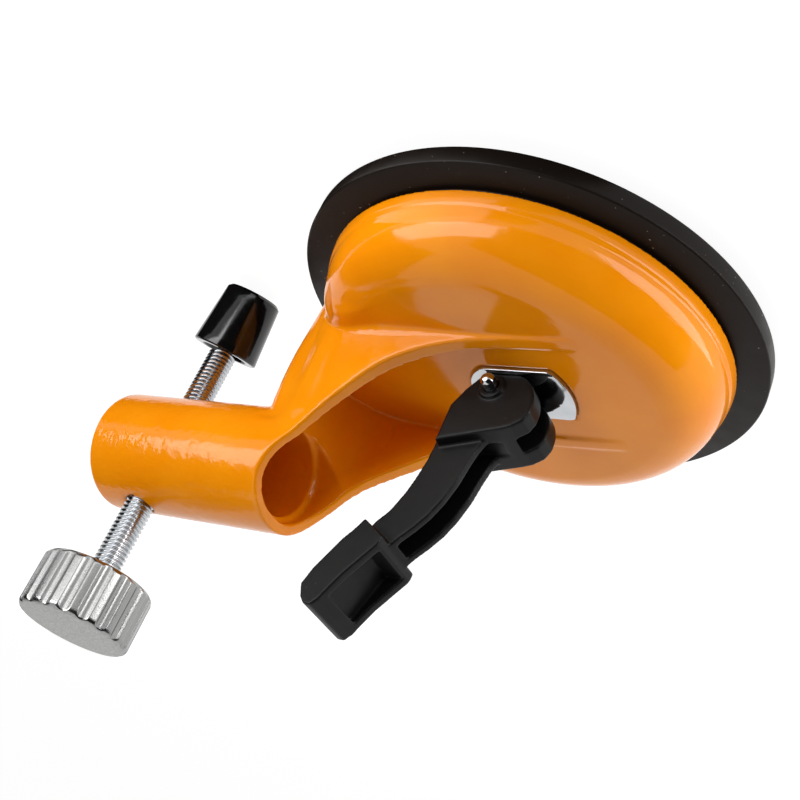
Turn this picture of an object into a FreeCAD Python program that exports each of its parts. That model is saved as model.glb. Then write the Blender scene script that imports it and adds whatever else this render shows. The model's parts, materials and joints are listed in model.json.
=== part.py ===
import FreeCAD, Part
import Sketcher
import math
import os

# Floor tile suction lifter, in millimetres. +Z points up, away from the tile.
# The origin is the centre of the suction pad's underside. The clamp arm leans towards -X.
# The model is symmetric about the plane Y = 0.

doc = FreeCAD.newDocument("suction_lifter")
sheet = doc.addObject("Spreadsheet::Sheet", "Sizes")

SIZES = [
    ("pad_radius", 60),          # outside radius of the rubber disc
    ("pad_thick", 5.6),          # rubber disc at its rim
    ("pad_seat", 6.6),           # height of the raised ring that the housing sits on
    ("dome_radius", 52.7),       # housing at its base edge
    ("band_radius", 52.2),       # housing at the top of the low base band
    ("band_top", 9.9),           # height of the top of the base band
    ("roof_radius", 37),         # radius of the flat roof inside the rounded shoulder
    ("roof_top", 23.3),          # height of the roof
    ("wall", 3),                 # casting wall
    ("tube_radius", 16.2),       # clamp tube, outside
    ("tube_height", 53.2),       # height of the tube's axis
    ("tube_end", -106.8),        # outer end of the tube along X
    ("lip_x", -48.4),            # open end of the tube, where the scoop begins
    ("step_x", -51.3),           # shoulder between the scoop and the tube's bore
    ("bore_radius", 11.7),       # tube's bore
    ("end_wall", 4),             # closed outer end of the tube
    ("arm_back_x", -45.5),       # where the arm's rounded back meets its sides, at the tube
    ("arm_waist", 20),           # height up to which the arm's back is spread into a foot
    ("arm_foot_depth", 11.5),    # depth of the rounded back at the foot
    ("arm_foot_half", 21.5),     # half width of the arm where its lips run out
    ("arm_front_x", 26),         # where the arm's lips run out on the roof
    ("scoop_back_x", -37.8),     # centre of the scoop's rounded back
    ("screw_x", -93.2),          # axis of the levelling screw
    ("screw_radius", 4),         # M8 thread, outside
    ("running_gap", 0.05),       # radial play of a turning fit
    ("gap", 0.3),                # clearance between loose neighbours
    ("ball_height", 11.5),       # centre of the ball on the end of the screw
    ("ball_radius", 4),
    ("neck_radius", 2.4),        # screw where it is turned down above the ball
    ("neck_top", 18.5),          # where the thread starts
    ("foot_above", 5.2),         # foot's top face, measured from the ball
    ("foot_below", 13.6),        # foot's underside, measured from the ball
    ("foot_top_radius", 9.75),
    ("foot_base_radius", 8.3),
    ("foot_tilt", 21),           # swivelled rest position of the foot
    ("foot_swing", 24),          # furthest the foot can swivel off the screw's axis
    ("knob_low", 91.2),          # underside of the knob
    ("knob_high", 106.8),        # top face of the knob
    ("knob_radius", 15.3),
    ("knob_flutes", 18),
    ("flute_radius", 2.1),
    ("knob_edge", 1.4),          # rounding of the knob's top edge
    ("knob_socket", 10),         # depth of the screw inside the knob
    ("pin_x", 2.5),              # lever pin
    ("pin_z", 28.3),
    ("pin_radius", 1.8),
    ("pin_half", 12.8),          # half length of the lever pin
    ("stem_half", 2.5),          # half thickness of the pull stem
    ("eye_radius", 4.2),         # rounded eye at the top of the stem
    ("flange_radius", 8),        # flange at the foot of the stem
    ("insert_radius", 20),       # steel disc set in the pad
    ("insert_low", 4),
    ("insert_thick", 2),
    ("plate_thick", 1.5),        # wear plate under the cam
    ("plate_recess", 0.8),       # depth the plate is let into the roof
    ("plate_middle", 7.3),       # middle of the plate along X
    ("plate_half", 9),           # half length of the plate's straight sides
    ("plate_nose", 6),           # rise of its rounded end below the scoop
    ("plate_bulge", 2.6),        # rise of its other, flatter end
    ("plate_width", 9.5),       # half width of the plate
    ("cam_rise", 4.9),           # rise of the cam per radian
    ("cam_sweep", 95),           # degrees the lever turns through
    ("head_half", 8.2),          # half widths of the lever's head, neck and grip
    ("neck_half", 5),
    ("grip_half", 9),
    ("slot_radius", 4.6),        # room round the stem's eye
    ("pocket_half", 2.8),        # half width of the neck's pocket
    ("grip_wall", 2.5),          # wall on each side of the grip's pocket
    ("boss_radius", 3.3),        # raised ring round the pin on each cheek
    ("boss_height", 0.9),
]
for row, (name, value) in enumerate(SIZES, start=1):
    sheet.set("A%d" % row, name)
    sheet.set("B%d" % row, str(value))
    sheet.setAlias("B%d" % row, name)
doc.recompute()


def size(name):
    """A driving dimension, as a number."""
    return float(sheet.get(name))


def new_body(label):
    body = doc.addObject("PartDesign::Body", label)
    body.Label = label
    return body


def new_sketch(body, name, plane, offset=None):
    """A sketch on one of the body's own origin planes, moved along its normal by an expression."""
    sketch = body.newObject("Sketcher::SketchObject", name)
    origin_plane = [f for f in body.Origin.OriginFeatures if f.Role == plane][0]
    sketch.AttachmentSupport = (origin_plane, [""])
    sketch.MapMode = "FlatFace"
    if offset is not None:
        sketch.setExpression("AttachmentOffset.Base.z", offset)
    return sketch


def closed_outline(sketch, pieces):
    """Lines, arcs and splines drawn end to end, joined to each other and closed.

    Each piece is a curve and the point it starts from, because a sketch stores every arc
    anticlockwise and may swap its ends.
    """
    ends = []
    for curve, start in pieces:
        index = sketch.addGeometry(curve, False)
        forward = sketch.getPoint(index, 1).distanceToPoint(FreeCAD.Vector(start[0], start[1], 0)) < 1e-4
        ends.append((index, 1, 2) if forward else (index, 2, 1))
    for here, after in zip(ends, ends[1:] + ends[:1]):
        sketch.addConstraint(Sketcher.Constraint("Coincident", here[0], here[2], after[0], after[1]))


def line(start, end):
    return Part.LineSegment(FreeCAD.Vector(*start, 0), FreeCAD.Vector(*end, 0)), start


def polygon(points):
    """Line segments through (a, b) points, closed."""
    return [line(here, after) for here, after in zip(points, points[1:] + points[:1])]


def arc(start, middle, end):
    """Part of a circle from start to end through the middle, whichever way that turns."""
    points = [FreeCAD.Vector(p[0], p[1], 0) for p in (start, middle, end)]
    return Part.Arc(*points), start


def spline(points):
    curve = Part.BSplineCurve()
    curve.interpolate([FreeCAD.Vector(a, b, 0) for a, b in points])
    return curve, points[0]


def circle(sketch, centre, radius, expression):
    """A circle whose radius follows an expression on the sheet."""
    middle = FreeCAD.Vector(centre[0], centre[1], 0)
    index = sketch.addGeometry(Part.Circle(middle, FreeCAD.Vector(0, 0, 1), radius), False)
    number = sketch.addConstraint(Sketcher.Constraint("Radius", index, radius))
    sketch.setExpression("Constraints[%d]" % number, expression)


def extrude(body, kind, name, sketch, length, both_ways=False, reverse=False):
    """A Pad or Pocket of a sketch, as long as an expression says."""
    feature = body.newObject("PartDesign::" + kind, name)
    feature.Profile = sketch
    feature.setExpression("Length", length)
    feature.Midplane = both_ways
    feature.Reversed = reverse
    sketch.Visibility = False
    return feature


def turn(body, kind, name, sketch):
    """A Revolution or Groove about the sketch's own vertical axis."""
    feature = body.newObject("PartDesign::" + kind, name)
    feature.Profile = sketch
    feature.ReferenceAxis = (sketch, ["V_Axis"])
    feature.Angle = 360
    sketch.Visibility = False
    return feature


def loft(body, kind, name, first, others):
    """A loft from one closed sketch through the others."""
    feature = body.newObject("PartDesign::" + kind, name)
    feature.Profile = first
    feature.Sections = others
    feature.Ruled = len(others) == 1
    return feature


def round_edges(body, name, base, radius, wanted):
    """A fillet on the edges of the base feature that the test picks out."""
    doc.recompute()
    names = ["Edge%d" % (i + 1) for i, e in enumerate(base.Shape.Edges) if wanted(e)]
    feature = body.newObject("PartDesign::Fillet", name)
    feature.Base = (base, names)
    feature.setExpression("Radius", radius)
    doc.recompute()
    return feature


# ---------------------------------------------------------------- housing

def dome_outline():
    """Half section of the dome, from its base edge up over the shoulder to the roof."""
    base_r, band_r = size("dome_radius"), size("band_radius")
    seat, band, roof = size("pad_seat"), size("band_top"), size("roof_top")
    flat = size("roof_radius")
    notch = 0.5
    low = (band_r - notch, band + notch)
    mid = (flat + (low[0] - flat) * math.cos(math.pi / 4), low[1] + (roof - low[1]) * math.sin(math.pi / 4))
    return [
        line((0, seat), (base_r, seat)),
        line((base_r, seat), (band_r, band)),
        line((band_r, band), low),
        arc(low, mid, (flat, roof)),
        line((flat, roof), (0, roof)),
        line((0, roof), (0, seat)),
    ]


def cavity_outline():
    """Half section of the hollow under the dome, one wall inside the outline."""
    wall, seat, roof = size("wall"), size("pad_seat"), size("roof_top")
    side = size("band_radius") - wall
    flat = size("roof_radius")
    ceiling = roof - wall
    low = size("band_top") + 0.5
    mid = (flat + (side - flat) * math.cos(math.pi / 4), low + (ceiling - low) * math.sin(math.pi / 4))
    return [
        line((0, seat - 1), (side, seat - 1)),
        line((side, seat - 1), (side, low)),
        arc((side, low), mid, (flat, ceiling)),
        line((flat, ceiling), (0, ceiling)),
        line((0, ceiling), (0, seat - 1)),
    ]


def arm_outline(back_x, back_half, back_depth, front_x, front_half):
    """Plan of the arm: a rounded back, then two sides that bulge out to the front."""
    belly_x = back_x + (front_x - back_x) * 0.3
    belly = back_half + (front_half - back_half) * 0.72
    return [
        arc((back_x, -back_half), (back_x - back_depth, 0), (back_x, back_half)),
        arc((back_x, back_half), (belly_x, belly), (front_x, front_half)),
        line((front_x, front_half), (front_x, -front_half)),
        arc((front_x, -front_half), (belly_x, -belly), (back_x, -back_half)),
    ]


def lip_curve():
    """Side view of the arm's front edge, from the tube's mouth down to the roof."""
    roof = size("roof_top")
    axis = size("tube_height")
    x = size("lip_x")
    drop = axis - roof
    return [
        (x, axis + 13),
        (x + 0.6, axis + 7.5),
        (x + 2.8, axis + 2.8),
        (x + 6.6, axis - 0.08 * drop),
        (x + 11.6, axis - 0.28 * drop),
        (x + 18.4, axis - 0.495 * drop),
        (x + 25.4, axis - 0.685 * drop),
        (x + 32, axis - 0.805 * drop),
        (x + 41, axis - 0.905 * drop),
        (x + 49, axis - 0.955 * drop),
        (x + 58, axis - 0.975 * drop),
        (size("arm_front_x") + 1, roof + 0.05),
    ]


def arm_plan(body, name, height, back_x, back_half, back_depth):
    """One level of the arm's outside, drawn at a height given by an expression."""
    sketch = new_sketch(body, name, "XY_Plane", height)
    half = size("arm_foot_half")
    closed_outline(sketch, arm_outline(back_x, back_half, back_depth, size("arm_front_x"), half))
    return sketch


def scoop_plan(body, name, height, back_half, narrow):
    """One level of the scoop's inside."""
    sketch = new_sketch(body, name, "XY_Plane", height)
    half = size("arm_foot_half") - size("wall") - 0.8 - narrow
    closed_outline(sketch, arm_outline(size("scoop_back_x"), back_half, back_half, size("arm_front_x") + 8, half))
    return sketch


def build_housing():
    body = new_body("housing")
    axis = size("tube_height")

    back_x, tube_r = size("arm_back_x"), size("tube_radius")
    foot = arm_plan(body, "arm_foot_plan", "Sizes.pad_seat + 0.3", back_x - 0.5, tube_r + 4.3, size("arm_foot_depth"))
    waist = arm_plan(body, "arm_waist_plan", "Sizes.arm_waist", back_x + 2.7, tube_r + 2, tube_r + 1.5)
    high = arm_plan(body, "arm_high_plan", "Sizes.tube_height - 1", back_x + 2.5, tube_r - 0.25, tube_r - 1)
    loft(body, "AdditiveLoft", "arm", foot, [waist, high])

    sketch = new_sketch(body, "tube_section", "YZ_Plane", "Sizes.tube_end")
    circle(sketch, (0, axis), tube_r, "Sizes.tube_radius")
    tube = extrude(body, "Pad", "tube", sketch, "Sizes.lip_x - Sizes.tube_end + 8")
    end_x = size("tube_end")
    round_edges(body, "tube_end_round", tube, "1.2",
                lambda e: hasattr(e.Curve, "Center") and abs(e.Curve.Center.x - end_x) < 0.01)

    sketch = new_sketch(body, "lip_side_view", "XZ_Plane")
    curve = lip_curve()
    top = axis + 40
    far = size("arm_front_x") + 20
    closed_outline(sketch, [
        spline(curve),
        line(curve[-1], (far, curve[-1][1])),
        line((far, curve[-1][1]), (far, top)),
        line((far, top), (curve[0][0], top)),
        line((curve[0][0], top), curve[0]),
    ])
    extrude(body, "Pocket", "lip_cut", sketch, "4 * Sizes.arm_foot_half", both_ways=True)

    sketch = new_sketch(body, "dome_section", "XZ_Plane")
    closed_outline(sketch, dome_outline())
    turn(body, "Revolution", "dome", sketch)

    inner = size("tube_radius") - size("wall")
    low = scoop_plan(body, "scoop_low_plan", "Sizes.roof_top", inner + 1, 0)
    high = scoop_plan(body, "scoop_high_plan", "Sizes.tube_height", inner, 1)
    loft(body, "SubtractiveLoft", "scoop", low, [high])

    sketch = new_sketch(body, "mouth_section", "YZ_Plane", "Sizes.step_x")
    circle(sketch, (0, axis), inner, "Sizes.tube_radius - Sizes.wall")
    extrude(body, "Pocket", "mouth", sketch, "40", reverse=True)

    sketch = new_sketch(body, "bore_section", "YZ_Plane", "Sizes.tube_end + Sizes.end_wall")
    circle(sketch, (0, axis), size("bore_radius"), "Sizes.bore_radius")
    extrude(body, "Pocket", "bore", sketch, "Sizes.step_x - Sizes.tube_end - Sizes.end_wall + 1", reverse=True)

    sketch = new_sketch(body, "cavity_section", "XZ_Plane")
    closed_outline(sketch, cavity_outline())
    turn(body, "Groove", "cavity", sketch)

    sketch = new_sketch(body, "recess_plan", "XY_Plane", "Sizes.roof_top - Sizes.plate_recess")
    closed_outline(sketch, plate_outline(size("gap")))
    extrude(body, "Pocket", "plate_recess_cut", sketch, "Sizes.plate_recess + 1", reverse=True)

    sketch = new_sketch(body, "stem_hole_plan", "XY_Plane")
    circle(sketch, (size("pin_x"), 0), size("stem_half") + size("gap"), "Sizes.stem_half + Sizes.gap")
    extrude(body, "Pocket", "stem_hole", sketch, "Sizes.roof_top + 5", reverse=True)

    sketch = new_sketch(body, "screw_hole_plan", "XY_Plane")
    circle(sketch, (size("screw_x"), 0), size("screw_radius") + size("running_gap"),
           "Sizes.screw_radius + Sizes.running_gap")
    feature = extrude(body, "Pocket", "screw_hole", sketch, "Sizes.tube_height + 40", reverse=True)
    body.Tip = feature
    return body


# ---------------------------------------------------------------- wear plate

def plate_outline(extra):
    """Plan of the wear plate: straight sides and gently curved ends, grown by extra."""
    middle, half = size("plate_middle"), size("plate_half") + extra
    width, bulge = size("plate_width") + extra, size("plate_bulge")
    left, right = middle - half, middle + half
    return [
        line((left, -width), (right, -width)),
        arc((right, -width), (right + bulge, 0), (right, width)),
        line((right, width), (left, width)),
        arc((left, width), (left - size("plate_nose"), 0), (left, -width)),
    ]


def build_wear_plate():
    body = new_body("wear_plate")
    sketch = new_sketch(body, "plate_plan", "XY_Plane", "Sizes.roof_top - Sizes.plate_recess")
    closed_outline(sketch, plate_outline(0))
    circle(sketch, (size("pin_x"), 0), size("stem_half") + size("gap"), "Sizes.stem_half + Sizes.gap")
    body.Tip = extrude(body, "Pad", "plate", sketch, "Sizes.plate_thick")
    return body


# ---------------------------------------------------------------- pad and what is set in it

def build_pad():
    """The rubber disc: a flat underside, a seat for the housing and a pocket for the steel disc."""
    body = new_body("rubber_pad")
    outer, thick, seat = size("pad_radius"), size("pad_thick"), size("pad_seat")
    step = size("dome_radius") - 1.2
    pocket = size("insert_radius") + size("gap")
    low, high = size("insert_low"), size("insert_low") + size("insert_thick")
    sketch = new_sketch(body, "pad_section", "XZ_Plane")
    closed_outline(sketch, polygon([
        (0, 0), (outer - 0.4, 0), (outer, 0.4), (outer, thick - 0.8), (outer - 0.8, thick),
        (step, thick), (step, seat), (step - 4, seat), (step - 5, thick - 0.6),
        (pocket + 4, thick - 0.6), (pocket + 3, high), (pocket, high), (pocket, low), (0, low),
    ]))
    body.Tip = turn(body, "Revolution", "disc", sketch)
    return body


def build_insert():
    body = new_body("pad_insert_plate")
    sketch = new_sketch(body, "insert_plan", "XY_Plane", "Sizes.insert_low")
    circle(sketch, (0, 0), size("insert_radius"), "Sizes.insert_radius")
    body.Tip = extrude(body, "Pad", "insert", sketch, "Sizes.insert_thick")
    return body


def build_stem():
    """The steel stem: a flange on the insert disc, a round shank and a flat-sided eye."""
    body = new_body("pull_stem")
    body.setExpression("Placement.Base.x", "Sizes.pin_x")
    low = size("insert_low") + size("insert_thick")
    half = size("stem_half")
    sketch = new_sketch(body, "shank_section", "XZ_Plane")
    closed_outline(sketch, polygon([
        (0, low), (size("flange_radius"), low), (size("flange_radius"), low + 1.6),
        (half + 0.8, low + 2.4), (half, low + 3.2), (half, size("pin_z") - 3), (0, size("pin_z") - 3),
    ]))
    turn(body, "Revolution", "shank", sketch)
    sketch = new_sketch(body, "eye_section", "XZ_Plane")
    z, r = size("pin_z"), size("eye_radius")
    bottom = size("roof_top") - size("plate_recess") + size("plate_thick") + 2 * size("gap")
    closed_outline(sketch, [
        arc((r, z), (0, z + r), (-r, z)),
        line((-r, z), (-half, bottom)),
        line((-half, bottom), (half, bottom)),
        line((half, bottom), (r, z)),
    ])
    extrude(body, "Pad", "eye", sketch, "2 * Sizes.stem_half", both_ways=True)
    sketch = new_sketch(body, "eye_hole_section", "XZ_Plane")
    circle(sketch, (0, z), size("pin_radius") + size("running_gap"), "Sizes.pin_radius + Sizes.running_gap")
    body.Tip = extrude(body, "Pocket", "eye_hole", sketch, "6 * Sizes.stem_half", both_ways=True)
    return body


# ---------------------------------------------------------------- lever

def cam_start():
    """Distance from the pin to the cam face that lies on the wear plate with the lever released."""
    plate_top = size("roof_top") - size("plate_recess") + size("plate_thick")
    return size("pin_z") - plate_top - size("running_gap")


def cam_point(angle):
    """A point of the cam's face: the foot of a line that rolls away from the pin."""
    reach = cam_start() + size("cam_rise") * angle
    rise = size("cam_rise")
    return (reach * math.sin(angle) + rise * math.cos(angle), -reach * math.cos(angle) + rise * math.sin(angle))


def head_outline():
    """Side view of the lever's head, about the pin: a flat, the cam, and the step to the neck."""
    sweep = math.radians(size("cam_sweep"))
    cam = [cam_point(sweep * i / 10) for i in range(11)]
    flat = (-3.5, -cam_start())
    tail = [(10.9, 8.4), (8.4, 10.3), (6.1, 11.2), (3.6, 11.9), (-9.5, 15.7), (-9.3, 5.5), (-7.0, 0.7)]
    chain = [cam[-1]] + tail + [flat, cam[0]]
    sides = [line(chain[i], chain[i + 1]) for i in range(len(chain) - 1)]
    return [spline(cam)] + sides


# Side views about the pin, each from its front edge over the top and down its back edge.
NECK = [(1.8, 11.8), (0.4, 15.2), (-0.5, 19.2), (-1.4, 24.6), (-3.0, 29.9), (-5.0, 34.3), (-7.4, 37.9),
        (-10.0, 41.1), (-11.7, 43.8), (-20.3, 44.2), (-17.9, 37.7), (-15.4, 34.3), (-13.4, 29.1),
        (-12.3, 24.7), (-11.4, 19.7), (-11.0, 12.5)]
GRIP = [(-11.5, 43.0), (-11.8, 45.3), (-17.3, 53.7), (-19.5, 58.1), (-20.8, 60.9), (-22.3, 62.6),
        (-24.1, 62.6), (-25.8, 60.9), (-27.1, 57.9), (-25.8, 53.7), (-21.5, 45.1), (-19.8, 42.7), (-17.9, 39.3)]


# Side views of the two pockets: the lower end, the floor, and the upper end.
NECK_POCKET = [(9, 13.0), (4.7, 11.4), (-2.6, 11.8), (-8.6, 18.7), (-9.9, 24.7), (-11, 29.4), (-13, 34.4),
               (-14.9, 39.8), (-5, 45.2)]
GRIP_POCKET = [(-5.5, 45.5), (-16.9, 45.7), (-21.5, 58.3), (-9.5, 61.3)]


def build_lever():
    """The cam lever: forked head, hollow neck and hollow grip, drawn with the pin as its origin."""
    body = new_body("cam_lever")
    body.setExpression("Placement.Base.x", "Sizes.pin_x")
    body.setExpression("Placement.Base.z", "Sizes.pin_z")

    sketch = new_sketch(body, "head_side", "XZ_Plane")
    closed_outline(sketch, head_outline())
    extrude(body, "Pad", "head", sketch, "2 * Sizes.head_half", both_ways=True)

    sketch = new_sketch(body, "boss_side", "XZ_Plane")
    circle(sketch, (0, 0), size("boss_radius"), "Sizes.boss_radius")
    extrude(body, "Pad", "boss", sketch, "2 * (Sizes.head_half + Sizes.boss_height)", both_ways=True)

    for name, outline, width in (("neck", NECK, "neck_half"), ("grip", GRIP, "grip_half")):
        sketch = new_sketch(body, name + "_side", "XZ_Plane")
        closed_outline(sketch, polygon(outline))
        extrude(body, "Pad", name, sketch, "2 * Sizes.%s" % width, both_ways=True)

    r = size("slot_radius")
    reach = cam_start() + 5
    sketch = new_sketch(body, "slot_side", "XZ_Plane")
    closed_outline(sketch, [
        arc((-r, 0), (-r * 0.7071, r * 0.7071), (0, r)),
        line((0, r), (5.7, 9.3)),
        line((5.7, 9.3), (15, 13.1)),
        line((15, 13.1), (15, -reach)),
        line((15, -reach), (-r, -reach)),
        line((-r, -reach), (-r, 0)),
    ])
    extrude(body, "Pocket", "clevis_slot", sketch, "2 * (Sizes.stem_half + Sizes.gap)", both_ways=True)

    sketch = new_sketch(body, "neck_pocket_side", "XZ_Plane")
    closed_outline(sketch, polygon(NECK_POCKET))
    extrude(body, "Pocket", "neck_pocket", sketch, "2 * Sizes.pocket_half", both_ways=True)

    sketch = new_sketch(body, "grip_pocket_side", "XZ_Plane")
    closed_outline(sketch, polygon(GRIP_POCKET))
    extrude(body, "Pocket", "grip_pocket", sketch, "2 * (Sizes.grip_half - Sizes.grip_wall)", both_ways=True)

    sketch = new_sketch(body, "pin_hole_side", "XZ_Plane")
    circle(sketch, (0, 0), size("pin_radius"), "Sizes.pin_radius")
    body.Tip = extrude(body, "Pocket", "pin_hole", sketch, "8 * Sizes.head_half", both_ways=True)
    return body


def build_pin():
    """The lever's steel pin, with domed ends."""
    body = new_body("lever_pin")
    body.setExpression("Placement.Base.x", "Sizes.pin_x")
    body.setExpression("Placement.Base.z", "Sizes.pin_z")
    half, r = size("pin_half"), size("pin_radius")
    sketch = new_sketch(body, "pin_section", "XY_Plane")
    tip = r * 0.3
    closed_outline(sketch, [
        line((0, -half), (0, half)),
        line((0, half), (tip, half)),
        arc((tip, half), (r * 0.75, half - 0.5), (r, half - 1.3)),
        line((r, half - 1.3), (r, -half + 1.3)),
        arc((r, -half + 1.3), (r * 0.75, -half + 0.5), (tip, -half)),
        line((tip, -half), (0, -half)),
    ])
    body.Tip = turn(body, "Revolution", "pin", sketch)
    return body


# ---------------------------------------------------------------- levelling screw

def build_screw():
    """The levelling screw: a plain shaft at the thread's outside size, with a thinner neck below."""
    body = new_body("screw_rod")
    body.setExpression("Placement.Base.x", "Sizes.screw_x")
    r, neck = size("screw_radius"), size("neck_radius")
    low = size("ball_height") + ball_flat()
    start = size("neck_top")
    top = size("knob_low") + size("knob_socket")
    sketch = new_sketch(body, "screw_section", "XZ_Plane")
    closed_outline(sketch, polygon([
        (0, low), (neck, low), (neck, start - 0.8), (r, start), (r, top - 0.8), (r - 0.8, top), (0, top),
    ]))
    body.Tip = turn(body, "Revolution", "screw", sketch)
    return body


def ball_flat():
    """Height of the ball's flat top above its centre, where the screw's neck stands on it."""
    return math.sqrt(size("ball_radius") ** 2 - size("neck_radius") ** 2)


def build_ball():
    """The ball on the end of the screw, drawn about its centre."""
    body = new_body("screw_ball")
    body.setExpression("Placement.Base.x", "Sizes.screw_x")
    body.setExpression("Placement.Base.z", "Sizes.ball_height")
    r, neck, flat = size("ball_radius"), size("neck_radius"), ball_flat()
    sketch = new_sketch(body, "ball_section", "XZ_Plane")
    base = -r * 0.97
    base_half = math.sqrt(r * r - base * base)
    closed_outline(sketch, [
        line((0, base), (base_half, base)),
        arc((base_half, base), (r, 0), (neck, flat)),
        line((neck, flat), (0, flat)),
        line((0, flat), (0, base)),
    ])
    body.Tip = turn(body, "Revolution", "ball", sketch)
    return body


def build_knob():
    """The knob: a short cylinder with a ring of flutes and a blind socket for the screw."""
    body = new_body("knob")
    body.setExpression("Placement.Base.x", "Sizes.screw_x")
    low, high, r = size("knob_low"), size("knob_high"), size("knob_radius")
    socket, rod, edge = size("knob_socket"), size("screw_radius"), size("knob_edge")
    sketch = new_sketch(body, "knob_section", "XZ_Plane")
    closed_outline(sketch, [
        line((rod, low), (r - 1, low)),
        line((r - 1, low), (r, low + 1)),
        line((r, low + 1), (r, high - edge)),
        arc((r, high - edge), (r - 0.3 * edge, high - 0.3 * edge), (r - edge, high)),
        line((r - edge, high), (0, high)),
        line((0, high), (0, low + socket)),
        line((0, low + socket), (rod, low + socket)),
        line((rod, low + socket), (rod, low)),
    ])
    turn(body, "Revolution", "knob_blank", sketch)
    sketch = new_sketch(body, "flute_plan", "XY_Plane", "Sizes.knob_low - 1")
    flute_r = size("flute_radius")
    circle(sketch, (r + flute_r * 0.62, 0), flute_r, "Sizes.flute_radius")
    flute = extrude(body, "Pocket", "flute", sketch, "Sizes.knob_high - Sizes.knob_low + 2", reverse=True)
    doc.recompute()
    ring = body.newObject("PartDesign::PolarPattern", "flute_ring")
    ring.Originals = [flute]
    ring.Axis = (sketch, ["N_Axis"])
    ring.Angle = 360
    ring.setExpression("Occurrences", "Sizes.knob_flutes")
    body.Tip = ring
    return body


def build_foot():
    """The foot: a tapered block with a socket for the ball and a funnel that lets it swivel."""
    body = new_body("screw_foot")
    heading = FreeCAD.Vector(1, -1, 0)
    body.Placement = FreeCAD.Placement(FreeCAD.Vector(0, 0, 0), FreeCAD.Rotation(heading, size("foot_tilt")))
    body.setExpression("Placement.Base.x", "Sizes.screw_x")
    body.setExpression("Placement.Base.z", "Sizes.ball_height")
    body.setExpression("Placement.Rotation.Angle", "Sizes.foot_tilt")
    high, low = size("foot_above"), -size("foot_below")
    top_r, base_r = size("foot_top_radius"), size("foot_base_radius")
    socket = size("ball_radius") + size("running_gap")
    swing = math.radians(size("foot_swing"))
    throat_up = 1.3
    throat = math.sqrt(socket * socket - throat_up * throat_up)
    mouth = high * math.tan(swing) + (size("screw_radius") + size("gap")) / math.cos(swing)
    sketch = new_sketch(body, "foot_section", "XZ_Plane")
    closed_outline(sketch, [
        line((0, low), (base_r - 0.8, low)),
        line((base_r - 0.8, low), (base_r, low + 0.8)),
        line((base_r, low + 0.8), (top_r, high - 0.4)),
        line((top_r, high - 0.4), (top_r - 0.4, high)),
        line((top_r - 0.4, high), (mouth, high)),
        line((mouth, high), (throat, throat_up)),
        arc((throat, throat_up), (socket, 0), (0, -socket)),
        line((0, -socket), (0, low)),
    ])
    body.Tip = turn(body, "Revolution", "foot", sketch)
    return body


PIECES = [build_housing, build_wear_plate, build_pad, build_insert, build_stem, build_lever, build_pin,
          build_screw, build_ball, build_knob, build_foot]
bodies = [build() for build in PIECES]
doc.recompute()

for item in doc.Objects:
    if "Invalid" in item.State or "Error" in item.State:
        raise RuntimeError("%s did not build: %s" % (item.Label, item.State))
os.makedirs("parts", exist_ok=True)
for body in bodies:
    shape = body.Shape
    if shape.isNull() or not shape.isValid() or len(shape.Solids) != 1:
        raise RuntimeError("%s is not one valid solid" % body.Label)
    box = shape.BoundBox
    print("%-18s volume %9.1f  x %6.1f..%6.1f  y %5.1f..%5.1f  z %5.1f..%5.1f" % (
        body.Label, shape.Volume, box.XMin, box.XMax, box.YMin, box.YMax, box.ZMin, box.ZMax))
    shape.exportStep("parts/%s.step" % body.Label)
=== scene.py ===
# %% [markdown]
# # A suction lifter for floor tiles
# The lifter is a painted casting on a rubber disc. A cam lever pulls the disc's middle up, and a
# knob turns a screw that sets the height of a small foot. The solids of the frame give every part
# its place and size. Blender gives each one its real surface: soft cast edges, rolled threads,
# moulded rubber, and the finishes of paint, zinc and plastic.

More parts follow.
